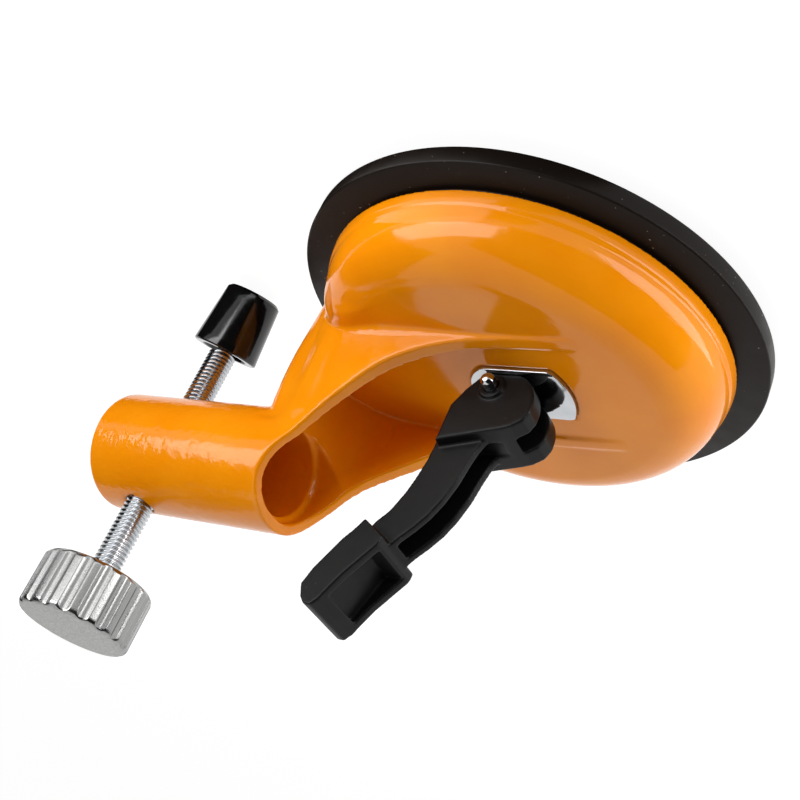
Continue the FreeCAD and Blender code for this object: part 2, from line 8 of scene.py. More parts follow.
# %% Load the frame
import json
import math
import bpy
from mathutils import Matrix, Vector
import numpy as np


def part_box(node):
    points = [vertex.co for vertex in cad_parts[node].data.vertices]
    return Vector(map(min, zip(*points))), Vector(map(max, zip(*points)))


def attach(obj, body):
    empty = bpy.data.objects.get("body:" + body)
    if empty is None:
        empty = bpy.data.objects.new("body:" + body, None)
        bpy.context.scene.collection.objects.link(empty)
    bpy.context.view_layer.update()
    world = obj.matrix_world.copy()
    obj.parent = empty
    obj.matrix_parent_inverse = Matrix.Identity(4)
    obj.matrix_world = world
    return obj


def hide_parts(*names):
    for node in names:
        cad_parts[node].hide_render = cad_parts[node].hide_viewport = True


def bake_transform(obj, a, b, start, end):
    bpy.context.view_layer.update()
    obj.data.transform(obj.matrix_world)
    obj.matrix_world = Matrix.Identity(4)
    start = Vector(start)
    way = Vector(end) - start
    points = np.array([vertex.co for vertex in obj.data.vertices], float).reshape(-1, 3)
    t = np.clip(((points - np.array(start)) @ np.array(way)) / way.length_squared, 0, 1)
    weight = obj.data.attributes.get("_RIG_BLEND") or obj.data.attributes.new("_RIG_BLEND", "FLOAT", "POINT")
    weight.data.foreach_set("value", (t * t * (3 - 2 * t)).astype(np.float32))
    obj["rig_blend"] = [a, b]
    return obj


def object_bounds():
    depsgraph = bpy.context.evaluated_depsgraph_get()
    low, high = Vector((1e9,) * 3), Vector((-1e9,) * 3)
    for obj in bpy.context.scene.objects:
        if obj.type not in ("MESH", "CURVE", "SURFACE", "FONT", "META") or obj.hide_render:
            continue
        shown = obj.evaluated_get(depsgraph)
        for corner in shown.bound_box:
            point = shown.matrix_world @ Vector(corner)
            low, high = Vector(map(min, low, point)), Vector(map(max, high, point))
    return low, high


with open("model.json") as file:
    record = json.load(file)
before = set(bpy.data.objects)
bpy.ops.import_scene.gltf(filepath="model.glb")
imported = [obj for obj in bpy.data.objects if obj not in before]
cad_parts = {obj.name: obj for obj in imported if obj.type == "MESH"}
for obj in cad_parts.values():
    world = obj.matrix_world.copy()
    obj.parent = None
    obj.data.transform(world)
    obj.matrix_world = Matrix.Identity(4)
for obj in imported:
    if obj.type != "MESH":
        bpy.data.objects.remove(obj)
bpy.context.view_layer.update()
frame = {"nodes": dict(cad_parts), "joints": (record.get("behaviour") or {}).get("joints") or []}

MM = 0.001
UP = Vector((0, 0, 1))
print("frame nodes:", ", ".join(sorted(frame["nodes"])))

# %% [markdown]
# ## Small helpers
# An operator acts on everything that is selected. Each step therefore first makes its own piece the
# only selected one. Faces and edges are picked in code by where they are.

# %% Select, finish and hand over a piece
def work_on(piece):
    """Makes one piece the only selected and active object."""
    if bpy.context.object and bpy.context.object.mode != "OBJECT":
        bpy.ops.object.mode_set(mode="OBJECT")
    bpy.ops.object.select_all(action="DESELECT")
    piece.select_set(True)
    bpy.context.view_layer.objects.active = piece


def apply_modifier(piece, kind, **settings):
    """Adds a modifier with these settings and applies it."""
    work_on(piece)
    modifier = piece.modifiers.new(kind.lower(), kind)
    for setting, value in settings.items():
        setattr(modifier, setting, value)
    bpy.ops.object.modifier_apply(modifier=modifier.name)


def settle(piece):
    """Leaves the piece's place in its mesh and its object at the origin."""
    work_on(piece)
    bpy.ops.object.transform_apply(location=True, rotation=True, scale=True)


def stand_for(piece, node, sharp_angle):
    """The piece takes a CAD node's place, and its faces meet smoothly up to the sharp angle."""
    settle(piece)
    bpy.ops.object.shade_smooth_by_angle(angle=math.radians(sharp_angle))
    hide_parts(node)
    print(f"{piece.name}: {len(piece.data.polygons)} faces, stands for {node}")


def hand_over(piece, node, body, sharp_angle=35):
    """The piece stands for a CAD node and rides on its body."""
    stand_for(piece, node, sharp_angle)
    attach(piece, body)


# %% [markdown]
# Cast and moulded parts have no knife edges. A copy of the solid is remeshed into even small
# squares, and rounds of smoothing then wear every edge down to a radius, as a mould or a polish
# does. Where the squares are many, a decimate leaves them on the curves and takes them off the
# flats.

# %% Copy a solid and soften it
def copy_of(node, name):
    """A copy of a CAD node's mesh with its loose triangles merged."""
    piece = frame["nodes"][node].copy()
    piece.data = piece.data.copy()
    piece.name = name
    piece.data.name = name
    piece.parent = None
    for key in [k for k in piece.keys() if k.startswith("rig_")]:
        del piece[key]
    bpy.context.scene.collection.objects.link(piece)
    piece.data.materials.clear()
    work_on(piece)
    bpy.ops.mesh.customdata_custom_splitnormals_clear()
    bpy.ops.object.mode_set(mode="EDIT")
    bpy.ops.mesh.select_all(action="SELECT")
    bpy.ops.mesh.remove_doubles(threshold=0.01 * MM)
    bpy.ops.object.mode_set(mode="OBJECT")
    return piece


def soften(piece, cell, rounds, reshape=None, most=180000):
    """Remeshes the piece into squares of cell mm, smooths it, and leaves at most so many triangles.

    Where reshape is given, it moves points after the remesh, and the smoothing evens them out.
    """
    apply_modifier(piece, "REMESH", mode="VOXEL", voxel_size=cell * MM)
    if reshape:
        reshape(piece)
    apply_modifier(piece, "SMOOTH", factor=0.5, iterations=rounds)
    triangles = 2 * len(piece.data.polygons)
    if triangles > most:
        apply_modifier(piece, "DECIMATE", ratio=most / triangles)


# %% [markdown]
# Turned and moulded round parts are an outline spun about an axis. The outline keeps its corners,
# and a bevel then rounds them by the radius that the tool or the mould leaves.

# %% Spin an outline
def turned(name, outline, steps, rounding=0.0):
    """A closed solid from an outline of (radius, height) points in millimetres, spun about Z."""
    points = [(r * MM, 0, z * MM) for r, z in outline]
    edges = [(i, i + 1) for i in range(len(points) - 1)]
    mesh = bpy.data.meshes.new(name)
    mesh.from_pydata(points, edges, [])
    piece = bpy.data.objects.new(name, mesh)
    bpy.context.scene.collection.objects.link(piece)
    work_on(piece)
    bpy.ops.object.mode_set(mode="EDIT")
    bpy.ops.mesh.select_all(action="SELECT")
    bpy.ops.mesh.spin(steps=steps, angle=2 * math.pi, center=(0, 0, 0), axis=(0, 0, 1))
    bpy.ops.mesh.select_all(action="SELECT")
    bpy.ops.mesh.remove_doubles(threshold=0.01 * MM)
    bpy.ops.mesh.normals_make_consistent(inside=False)
    bpy.ops.object.mode_set(mode="OBJECT")
    if rounding:
        apply_modifier(piece, "BEVEL", width=rounding * MM, segments=3, limit_method="ANGLE",
                       angle_limit=math.radians(25))
    return piece


def move_to(piece, place, turn=None):
    """Puts a piece that was made about the origin at a place in metres, after a turn."""
    piece.matrix_world = Matrix.Translation(place) @ (turn or Matrix.Identity(4))
    settle(piece)


# %% [markdown]
# ## Where things are
# The round parts take their sizes, and all parts their axes, from the frame, so these surfaces
# follow the solids. What only a surface has, such as a thread or a soft edge, is written below in
# millimetres on the frame's axes: X runs away from the arm, Z is up, and the arm is the same on
# both sides of Y = 0.

# %% Read the places from the frame
joints = {joint["name"]: joint for joint in frame["joints"]}
ball_centre = Vector(joints["foot_swivel"]["pos_m"])
pin_centre = Vector(joints["lever_turn"]["pos_m"])
pad_low, pad_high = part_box("rubber_pad")
rod_low, rod_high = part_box("screw_rod")
pad_radius = (pad_high.x - pad_low.x) / 2 / MM
print("pad radius", round(pad_radius, 2), "mm; pin height", round(pin_centre.z / MM, 2), "mm")

# %% [markdown]
# ## The casting
# The body is one piece of aluminium cast under pressure, under thick paint. The paint fills corners
# and rolls over edges, so a remesh with smoothing suits it better than bevels on chosen edges.
#
# Two forms of the arm go a little further here than in the solid. The flanks spread where they run
# into the dome. The back is flattened, so that a ridge stands between back and flank. Tables give
# both forms by the place along X or by the height, and every move fades in and out, so that it
# leaves no step.

# %% Shape the arm
ARM_X, ARM_Z, ARM_OUT = (-60, 4), (8, 48), 6       # the part of the casting that is shaped
ROOF = 23.3                                        # height of the dome's roof beside the arm
WALL_OUTSIDE = [(-46, 16.1), (-42, 16.6), (-36, 17.6), (-24, 19.9), (-12, 21.25), (0, 21.8),
                (10, 22)]

# The flanks' spread by X, the height over which it leans in again, and the share that it loses.
SPREAD = [(-48, 0), (-42, 1.8), (-36, 3.2), (-30, 3.2), (-24, 3.0), (-16, 2.0), (-12, 1.6),
          (-4, 0.5), (3, 0)]
LEAN_HEIGHT = [(-36, 20), (-24, 11), (-16, 6.5), (-8, 3.5), (3, 1.5)]
LEAN = 0.4

# The small flare at the flanks' foot, by X, and its height.
FLARE = [(-37, 0), (-30, 0.3), (-24, 0.5), (-16, 0.4), (-8, 0.2), (3, 0)]
FLARE_HEIGHT = 2.0

# The ridge's place along X and Y, by height, and how much the faces on its two sides slope.
RIDGE_X = [(20, -42.5), (24, -43.0), (32, -44.0), (40, -44.6), (46, -45.0)]
RIDGE_Y = [(20, 18.8), (24, 18.3), (32, 17.4), (40, 16.6), (46, 16.1)]
BACK_SLOPE, FLANK_SLOPE = 0.36, 0.10
RIDGE_FRONT = -36                                  # the ridge's faces end here, towards the dome
SCOOP_X, SCOOP_RADIUS = -43, 14.8                  # the scoop's round back, which stays as it is

# Fades, as the place where one starts and its length.
INTO_WALL, OFF_FOOT = (-5, 1.2), (4, 9)            # across the wall, from its outside
OFF_RIM, OFF_LIP = (9, 6), (-47, 23)               # up from the dome's rim, and down from the lip
OVER_ROOF, UNDER_TUBE = (17, 12), (-48, 4)         # the ridge, upwards and downwards
FROM_FLANK, FROM_TUBE = (37, 4), (-57, 7)          # the ridge, along -X and along X


def between(table, place):
    """The value of a table of (place, value) pairs, on straight lines between them."""
    if place <= table[0][0]:
        return table[0][1]
    for (x0, y0), (x1, y1) in zip(table, table[1:]):
        if place <= x1:
            return y0 + (y1 - y0) * (place - x0) / (x1 - x0)
    return table[-1][1]


def ramp(value, start, length):
    """0 up to the start, 1 after the length, and a straight line between."""
    return min(max((value - start) / length, 0.0), 1.0)


def fade(value, start, length):
    """A ramp with soft ends."""
    part = ramp(value, start, length)
    return part * part * (3 - 2 * part)


def flank_move(x, out, z):
    """How far a point of the flank moves outwards and up."""
    past_wall = out - between(WALL_OUTSIDE, x)
    rise = max(z - ROOF, 0)
    spread = between(SPREAD, x)
    lean = min(rise / between(LEAN_HEIGHT, x), 1.0)
    hold = fade(past_wall, *INTO_WALL) * (1 - fade(past_wall, *OFF_FOOT))
    hold *= fade(z, *OFF_RIM) * ramp(-z, *OFF_LIP)
    outwards = spread * (1 - LEAN * lean) + between(FLARE, x) * (1 - fade(rise, 0, FLARE_HEIGHT))
    return outwards * hold, LEAN * spread * lean * hold


def ridge_move(x, out, z):
    """How far a point of the arm's back moves outwards, to lie on a face beside the ridge."""
    if x >= RIDGE_FRONT or math.hypot(x - SCOOP_X, out) <= SCOOP_RADIUS:
        return 0
    past_ridge = x - between(RIDGE_X, z)
    face = between(RIDGE_Y, z) + past_ridge * (BACK_SLOPE if past_ridge < 0 else FLANK_SLOPE)
    hold = fade(z, *OVER_ROOF) * fade(-z, *UNDER_TUBE) * fade(-x, *FROM_FLANK) * fade(x, *FROM_TUBE)
    return (face - out) * hold


def shape_arm(piece):
    """Spreads the arm's flanks where they meet the dome, and flattens its back to a ridge."""
    moved = 0
    for vertex in piece.data.vertices:
        x, y, z = vertex.co / MM
        side, out = (1 if y > 0 else -1), abs(y)
        if not (ARM_X[0] < x < ARM_X[1] and ARM_Z[0] < z < ARM_Z[1] and out > ARM_OUT):
            continue
        outwards, upwards = flank_move(x, out, z)
        outwards += ridge_move(x, out, z)
        vertex.co.y += side * outwards * MM
        vertex.co.z += upwards * MM
        moved += outwards != 0
    print("shaped", moved, "points of the arm")


# %% [markdown]
# The remesh's squares of 0.4 mm still hold the steps of the dome's rim and the lips of the scoop.
# The smoothing then leaves edges of about a millimetre's radius, as the paint does.

# %% Make the casting
casting = copy_of("housing", "painted_casting")
soften(casting, cell=0.4, rounds=9, reshape=shape_arm, most=190000)
hand_over(casting, "housing", "housing", sharp_angle=60)

# %% [markdown]
# ## The rubber disc
# The disc is pressed in a mould: a flat sealing face below, a rounded rim, and a seat for the
# casting. Rings of points across its underside let it bend.

# %% Make the rubber disc
insert_low, insert_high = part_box("pad_insert_plate")
insert_radius = (insert_high.x - insert_low.x) / 2 / MM
SEAT_OUTER, SEAT_INNER = 51.4, 46.5       # the flat seat under the casting


def rubber_disc():
    """The outline runs from the middle of the underside, round the rim, and back over the top."""
    high = pad_high.z / MM
    rim_top = high - 1.0
    inner_top = rim_top - 0.6
    pocket = insert_radius + 0.3
    under, over = insert_low.z / MM, insert_high.z / MM
    underside = [(r, 0.0) for r in range(3, 57, 3)]
    rim = [(pad_radius - 1.6, 0), (pad_radius - 0.7, 0.5), (pad_radius, 0.9),
           (pad_radius, rim_top - 0.2), (pad_radius - 0.5, rim_top)]
    seat = [(SEAT_OUTER, rim_top), (SEAT_OUTER, high), (SEAT_INNER + 1, high)]
    bending = [(r, inner_top) for r in (SEAT_INNER, 42, 38, 34, 30, pocket + 4)]
    steel_pocket = [(pocket + 3, over), (pocket, over), (pocket, under), (14, under), (8, under),
                    (0, under)]
    outline = [(0, 0)] + underside + rim + seat + bending + steel_pocket
    return turned("rubber_disc", outline, steps=160, rounding=0.35)


disc = rubber_disc()
stand_for(disc, "rubber_pad", sharp_angle=40)

# %% [markdown]
# The disc's rim stays with the casting while its middle goes up with the stem, and the rubber
# between them bends. A blend does this with a weight at every point: 0 follows the casting and 1
# the stem. The weights are set ring by ring, because the disc bends around its middle and not from
# end to end.

# %% Bend the disc between the casting and the stem
STEM_GRIP = insert_radius + 1     # inside this radius the disc moves with the steel disc in it


def ring_weight(radius):
    """1 at the middle and 0 at the seat, with a smooth fall between."""
    return fade(SEAT_INNER - radius, 0, SEAT_INNER - STEM_GRIP)


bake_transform(disc, "housing", "stem", start=(0, 0, 0), end=(0, 0, pad_high.z))
weights = disc.data.attributes["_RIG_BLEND"]
for point, vertex in zip(weights.data, disc.data.vertices):
    point.value = ring_weight(math.hypot(vertex.co.x, vertex.co.y) / MM)
print("disc bends between radius", round(STEM_GRIP, 1), "and", SEAT_INNER, "mm")

# %% [markdown]
# ## The lever
# The lever is moulded in black nylon: cored out from the front, with a thin wall all round each
# pocket. A finer remesh keeps the pockets' rims, and more rounds of smoothing give them the soft
# radius of a mould.

# %% Make the lever
lever = copy_of("cam_lever", "moulded_lever")
soften(lever, cell=0.25, rounds=16)
hand_over(lever, "cam_lever", "lever", sharp_angle=60)

# %% [markdown]
# The lever turns on a steel pin whose ends are domed, like a rivet's. The dome is a few points of a
# circle at each end of the outline.

# %% Make the pin
pin_low, pin_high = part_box("lever_pin")


def lever_rivet():
    """A pin along Y with a low dome at each end."""
    half = (pin_high.y - pin_low.y) / 2 / MM
    r = (pin_high.z - pin_low.z) / 2 / MM
    angles = [math.radians(d) for d in range(0, 81, 10)]
    dome = [(r * math.cos(a), half - r * 0.8 * (1 - math.sin(a))) for a in angles]
    outline = [(0, half)] + dome[::-1]
    outline += [(x, -z) for x, z in dome] + [(0, -half)]
    piece = turned("lever_rivet", outline, steps=48)
    move_to(piece, pin_centre, Matrix.Rotation(math.radians(90), 4, "X"))
    return piece


rivet = lever_rivet()
hand_over(rivet, "lever_pin", "lever")

# %% [markdown]
# ## The levelling screw
# A rolled thread is one short outline, root, flank and crest, carried round and up in a helix. The
# Screw modifier does just that, and two bisects then cut it square and close it.

# %% Make the threaded rod
PITCH = 1.25          # a metric coarse thread on an 8 mm rod
THREAD_DEPTH = 0.72
THREAD_START = 18.5   # height where the neck above the ball ends
OVERLAP = 0.1         # how far the neck's end goes into the thread
NECK_RADIUS = 2.4


def threaded_rod():
    """One turn's outline carried up as a helix, and cut square at both ends."""
    major = (rod_high.x - rod_low.x) / 2 / MM
    minor = major - THREAD_DEPTH
    length = rod_high.z / MM - THREAD_START
    outline = [(minor, 0), (minor, 0.16), (major - 0.06, 0.55), (major, 0.62), (major, 0.74),
               (major - 0.06, 0.81), (minor, 1.2), (minor, PITCH)]
    mesh = bpy.data.meshes.new("threaded_rod")
    points = [(r * MM, 0, z * MM) for r, z in outline]
    mesh.from_pydata(points, [(i, i + 1) for i in range(len(points) - 1)], [])
    rod = bpy.data.objects.new("threaded_rod", mesh)
    bpy.context.scene.collection.objects.link(rod)
    apply_modifier(rod, "SCREW", axis="Z", angle=2 * math.pi, screw_offset=PITCH * MM,
                   iterations=int(length / PITCH) + 3, steps=24, render_steps=24,
                   use_merge_vertices=True, merge_threshold=0.005 * MM)
    bpy.ops.object.mode_set(mode="EDIT")
    bpy.ops.mesh.select_all(action="SELECT")
    bpy.ops.mesh.remove_doubles(threshold=0.005 * MM)
    for height, direction in ((1.5 * PITCH, -1), (1.5 * PITCH + length, 1)):
        bpy.ops.mesh.select_all(action="SELECT")
        bpy.ops.mesh.bisect(plane_co=(0, 0, height * MM), plane_no=(0, 0, direction), use_fill=True,
                            clear_outer=True, threshold=0.001 * MM)
    bpy.ops.mesh.select_all(action="SELECT")
    bpy.ops.mesh.normals_make_consistent(inside=False)
    bpy.ops.object.mode_set(mode="OBJECT")
    move_to(rod, (ball_centre.x, 0, (THREAD_START - 1.5 * PITCH) * MM))
    return rod


rod = threaded_rod()
neck_low = rod_low.z / MM
neck_high = THREAD_START + OVERLAP
neck_outline = [(0, neck_low), (NECK_RADIUS, neck_low), (NECK_RADIUS, neck_high - 0.9),
                (NECK_RADIUS + 1, neck_high), (0, neck_high)]
neck = turned("rod_neck", neck_outline, steps=40)
move_to(neck, (ball_centre.x, 0, 0))
work_on(rod)
neck.select_set(True)
bpy.ops.object.join()
hand_over(rod, "screw_rod", "screw", sharp_angle=28)

# %% [markdown]
# ## The ball and the foot
# The screw ends in a ball, and the foot is a tapered plastic block that swivels on it. The ball is
# spun from an arc. The foot's solid is already right, so its copy only gets a small bevel.

# %% Make the ball and the foot
def ball_end():
    """A ball with a short neck on top, where it joins the rod."""
    low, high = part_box("screw_ball")
    r = (high.x - low.x) / 2 / MM
    top = (high.z - ball_centre.z) / MM
    arc = [math.radians(d) for d in range(-80, 53, 7)]
    outline = [(0, r * math.sin(arc[0]))] + [(r * math.cos(a), r * math.sin(a)) for a in arc]
    outline += [(NECK_RADIUS, top), (0, top)]
    piece = turned("ball_end", outline, steps=48)
    move_to(piece, ball_centre)
    return piece


ball = ball_end()
hand_over(ball, "screw_ball", "ball")

foot = copy_of("screw_foot", "swivel_foot")
apply_modifier(foot, "BEVEL", width=0.3 * MM, segments=3, limit_method="ANGLE",
               angle_limit=math.radians(25))
hand_over(foot, "screw_foot", "foot", sharp_angle=30)

# %% [markdown]
# ## The knob
# The knob is cast in aluminium with scalloped sides and left as it comes out of the mould. The
# remesh is fine, because the ridges between the scallops are narrow.

# %% Make the knob
knob = copy_of("knob", "cast_knob")
soften(knob, cell=0.25, rounds=4)
hand_over(knob, "knob", "screw", sharp_angle=60)

# %% [markdown]
# ## The plated steel parts
# Plate and disc are stamped and the stem is turned, all from steel. Their edges are broken by a
# very small bevel. The wear plate's four corners are rounded first, by a bevel on its upright
# edges.

# %% Make the plated steel parts
def merged_faces(piece):
    """Merges the triangles of each flat face into one face."""
    work_on(piece)
    bpy.ops.object.mode_set(mode="EDIT")
    bpy.ops.mesh.select_all(action="SELECT")
    bpy.ops.mesh.dissolve_limited(angle_limit=math.radians(0.5))
    bpy.ops.object.mode_set(mode="OBJECT")


def round_corners(piece, radius):
    """Rounds the upright edges where a plate's sides meet its ends."""
    work_on(piece)
    bpy.ops.object.mode_set(mode="EDIT")
    bpy.ops.mesh.select_mode(type="EDGE")
    bpy.ops.mesh.select_all(action="DESELECT")
    bpy.ops.object.mode_set(mode="OBJECT")
    half_width = max(v.co.y for v in piece.data.vertices)
    for edge in piece.data.edges:
        a, b = (piece.data.vertices[i].co for i in edge.vertices)
        upright = abs(a.z - b.z) > 1 * MM and (a - b).length - abs(a.z - b.z) < 0.01 * MM
        edge.select = upright and abs(abs(a.y) - half_width) < 0.01 * MM
    bpy.ops.object.mode_set(mode="EDIT")
    bpy.ops.mesh.bevel(offset=radius * MM, segments=5)
    bpy.ops.object.mode_set(mode="OBJECT")


def broken_edges(piece, width):
    """A very small bevel on every sharp edge."""
    apply_modifier(piece, "BEVEL", width=width * MM, segments=3, limit_method="ANGLE",
                   angle_limit=math.radians(40))


wear_plate = copy_of("wear_plate", "plated_wear_plate")
stem = copy_of("pull_stem", "steel_stem")
insert = copy_of("pad_insert_plate", "steel_insert")
steel_parts = ((wear_plate, "wear_plate", "housing"), (stem, "pull_stem", "stem"),
               (insert, "pad_insert_plate", "stem"))
for piece in (wear_plate, stem, insert):
    merged_faces(piece)
round_corners(wear_plate, radius=1.5)
for piece, node, body in steel_parts:
    broken_edges(piece, width=0.2)
    hand_over(piece, node, body)

# %% [markdown]
# ## Materials
# Colours are written as sRGB hex and turned to linear by one function. Patterns are scaled from
# sizes in millimetres. One function adds a node with its settings and links: a socket is named with
# underscores for spaces, or by its number where several sockets share a name.

# %% Material helpers
def linear(hex_colour):
    """An sRGB hex colour as linear RGBA."""
    parts = [int(hex_colour[i:i + 2], 16) / 255 for i in (1, 3, 5)]
    return [p / 12.92 if p <= 0.04045 else ((p + 0.055) / 1.055) ** 2.4 for p in parts] + [1.0]


def per_mm(size):
    """The scale of a noise whose features are about size millimetres wide."""
    return 1 / (size * MM)


def empty_material(name):
    """A material of this name without nodes."""
    material = bpy.data.materials.new(name)
    material.use_nodes = True
    material.node_tree.nodes.clear()
    return material


def add_node(owner, kind, settings=None, **sockets):
    """Adds a node to a material or world; each socket is given a value or another node's output."""
    node = owner.node_tree.nodes.new(kind)
    for name, value in (settings or {}).items():
        setattr(node, name, value)
    for name, value in sockets.items():
        key = int(name[7:]) if name.startswith("socket_") else name.replace("_", " ")
        if isinstance(value, bpy.types.NodeSocket):
            owner.node_tree.links.new(value, node.inputs[key])
        else:
            node.inputs[key].default_value = value
    return node


def dress(material, *pieces):
    """Gives the pieces a material."""
    for piece in pieces:
        piece.data.materials.clear()
        piece.data.materials.append(material)
        print(f"{piece.name}: {material.name}")


# %% [markdown]
# ### Orange enamel
# Powder enamel on cast aluminium is a glossy, saturated coat. Its own skin, called orange peel,
# breaks the edges of reflections into waves a millimetre or two wide. The dome was polished before
# painting and shows less of it, while the tube keeps the rough skin of the mould, so the bump grows
# towards the tube.

# %% Orange enamel
def orange_enamel(dome_edge, tube_start):
    """Glossy orange powder enamel; its orange peel grows from the dome's edge to the tube."""
    material = empty_material("orange powder enamel on cast aluminium")
    place = add_node(material, "ShaderNodeTexCoord").outputs["Object"]
    cloud = add_node(material, "ShaderNodeTexNoise", Vector=place, Scale=per_mm(14), Detail=3.0)
    tone = add_node(material, "ShaderNodeMapRange", Value=cloud.outputs["Fac"],
                    From_Min=0.3, From_Max=0.7)
    colour = add_node(material, "ShaderNodeMix", {"data_type": "RGBA"},
                      socket_0=tone.outputs["Result"],
                      socket_6=linear("#F08A04"), socket_7=linear("#F5930A"))
    haze = add_node(material, "ShaderNodeTexNoise", Vector=place, Scale=per_mm(5), Detail=4.0)
    gloss = add_node(material, "ShaderNodeMapRange", Value=haze.outputs["Fac"],
                     From_Min=0.35, From_Max=0.7, To_Min=0.07, To_Max=0.15)
    axes = add_node(material, "ShaderNodeSeparateXYZ", Vector=place)
    rough_skin = add_node(material, "ShaderNodeMapRange", Value=axes.outputs["X"],
                          From_Min=tube_start, From_Max=dome_edge, To_Min=1.0, To_Max=0.15)
    wave = add_node(material, "ShaderNodeTexNoise", Vector=place, Scale=per_mm(8), Detail=1.0)
    waves = add_node(material, "ShaderNodeBump", Height=wave.outputs["Fac"], Distance=0.12 * MM,
                     Strength=rough_skin.outputs["Result"])
    peel = add_node(material, "ShaderNodeTexNoise", Vector=place, Scale=per_mm(1.8), Detail=2.0)
    skin = add_node(material, "ShaderNodeBump", Height=peel.outputs["Fac"], Distance=0.13 * MM,
                    Strength=rough_skin.outputs["Result"], Normal=waves.outputs["Normal"])
    shader = add_node(material, "ShaderNodeBsdfPrincipled", Base_Color=colour.outputs[2],
                      Roughness=gloss.outputs["Result"], Normal=skin.outputs["Normal"], IOR=1.46,
                      Specular_IOR_Level=0.32)
    add_node(material, "ShaderNodeOutputMaterial", Surface=shader.outputs["BSDF"])
    return material


dress(orange_enamel(dome_edge=-45 * MM, tube_start=-60 * MM), casting)

# %% [markdown]
# ### Rubber
# Moulded rubber is a brownish black with a satin sheen. Rubber draws dust, so a few pale specks sit
# on it: a fine noise, cut off so that only its highest tips show.

# %% Rubber
def black_rubber():
    """Satin black rubber with specks of dust about half a millimetre wide."""
    material = empty_material("moulded black rubber")
    place = add_node(material, "ShaderNodeTexCoord").outputs["Object"]
    speck = add_node(material, "ShaderNodeTexNoise", Vector=place, Scale=per_mm(0.9), Detail=1.0)
    dust = add_node(material, "ShaderNodeMapRange", Value=speck.outputs["Fac"],
                    From_Min=0.76, From_Max=0.80)
    colour = add_node(material, "ShaderNodeMix", {"data_type": "RGBA"},
                      socket_0=dust.outputs["Result"],
                      socket_6=linear("#150F0B"), socket_7=linear("#7A7068"))
    cloud = add_node(material, "ShaderNodeTexNoise", Vector=place, Scale=per_mm(6), Detail=4.0)
    sheen = add_node(material, "ShaderNodeMapRange", Value=cloud.outputs["Fac"],
                     From_Min=0.3, From_Max=0.7, To_Min=0.34, To_Max=0.46)
    grain = add_node(material, "ShaderNodeTexNoise", Vector=place, Scale=per_mm(0.4), Detail=2.0)
    skin = add_node(material, "ShaderNodeBump", Height=grain.outputs["Fac"], Distance=0.01 * MM,
                    Strength=1.0)
    shader = add_node(material, "ShaderNodeBsdfPrincipled", Base_Color=colour.outputs[2],
                      Roughness=sheen.outputs["Result"], Normal=skin.outputs["Normal"], IOR=1.5,
                      Specular_IOR_Level=0.14)
    add_node(material, "ShaderNodeOutputMaterial", Surface=shader.outputs["BSDF"])
    return material


dress(black_rubber(), disc)

# %% [markdown]
# ### Black nylon
# The lever's nylon comes out of its mould semi matt, with the fine texture of the mould's spark
# erosion and a few scuffs from handling.

# %% Black nylon
def black_nylon():
    """Semi matt black nylon with a fine mould texture and pale scuffs."""
    material = empty_material("moulded black nylon")
    place = add_node(material, "ShaderNodeTexCoord").outputs["Object"]
    scuff = add_node(material, "ShaderNodeTexNoise", Vector=place, Scale=per_mm(1.2), Detail=3.0)
    worn = add_node(material, "ShaderNodeMapRange", Value=scuff.outputs["Fac"],
                    From_Min=0.72, From_Max=0.80)
    colour = add_node(material, "ShaderNodeMix", {"data_type": "RGBA"},
                      socket_0=worn.outputs["Result"],
                      socket_6=linear("#111111"), socket_7=linear("#3A3938"))
    cloud = add_node(material, "ShaderNodeTexNoise", Vector=place, Scale=per_mm(4), Detail=4.0)
    sheen = add_node(material, "ShaderNodeMapRange", Value=cloud.outputs["Fac"],
                     From_Min=0.3, From_Max=0.7, To_Min=0.33, To_Max=0.45)
    grain = add_node(material, "ShaderNodeTexNoise", Vector=place, Scale=per_mm(0.25), Detail=2.0)
    skin = add_node(material, "ShaderNodeBump", Height=grain.outputs["Fac"], Distance=0.008 * MM,
                    Strength=1.0)
    shader = add_node(material, "ShaderNodeBsdfPrincipled", Base_Color=colour.outputs[2],
                      Roughness=sheen.outputs["Result"], Normal=skin.outputs["Normal"], IOR=1.5,
                      Specular_IOR_Level=0.15)
    add_node(material, "ShaderNodeOutputMaterial", Surface=shader.outputs["BSDF"])
    return material


dress(black_nylon(), lever)

# %% [markdown]
# ### Black acetal
# The foot is a harder plastic, acetal, and much glossier. Lamps show in it as clean streaks.

# %% Black acetal
def black_acetal():
    """Glossy black acetal, with the faint waves of a moulded side."""
    material = empty_material("glossy black acetal")
    place = add_node(material, "ShaderNodeTexCoord").outputs["Object"]
    cloud = add_node(material, "ShaderNodeTexNoise", Vector=place, Scale=per_mm(3), Detail=4.0)
    tone = add_node(material, "ShaderNodeMix", {"data_type": "RGBA"}, socket_0=cloud.outputs["Fac"],
                    socket_6=linear("#080808"), socket_7=linear("#101011"))
    gloss = add_node(material, "ShaderNodeMapRange", Value=cloud.outputs["Fac"],
                     From_Min=0.3, From_Max=0.7, To_Min=0.07, To_Max=0.13)
    wave = add_node(material, "ShaderNodeTexNoise", Vector=place, Scale=per_mm(2.5), Detail=1.0)
    skin = add_node(material, "ShaderNodeBump", Height=wave.outputs["Fac"], Distance=0.01 * MM,
                    Strength=1.0)
    shader = add_node(material, "ShaderNodeBsdfPrincipled", Base_Color=tone.outputs[2],
                      Roughness=gloss.outputs["Result"], Normal=skin.outputs["Normal"], IOR=1.48)
    add_node(material, "ShaderNodeOutputMaterial", Surface=shader.outputs["BSDF"])
    return material


dress(black_acetal(), foot)

# %% [markdown]
# ### Zinc plate
# Bright zinc on steel is close to a mirror, with faint streaks from the plating bath. The thread
# and the turned parts are duller than the stamped plate, so the same recipe takes a low and a high
# roughness.

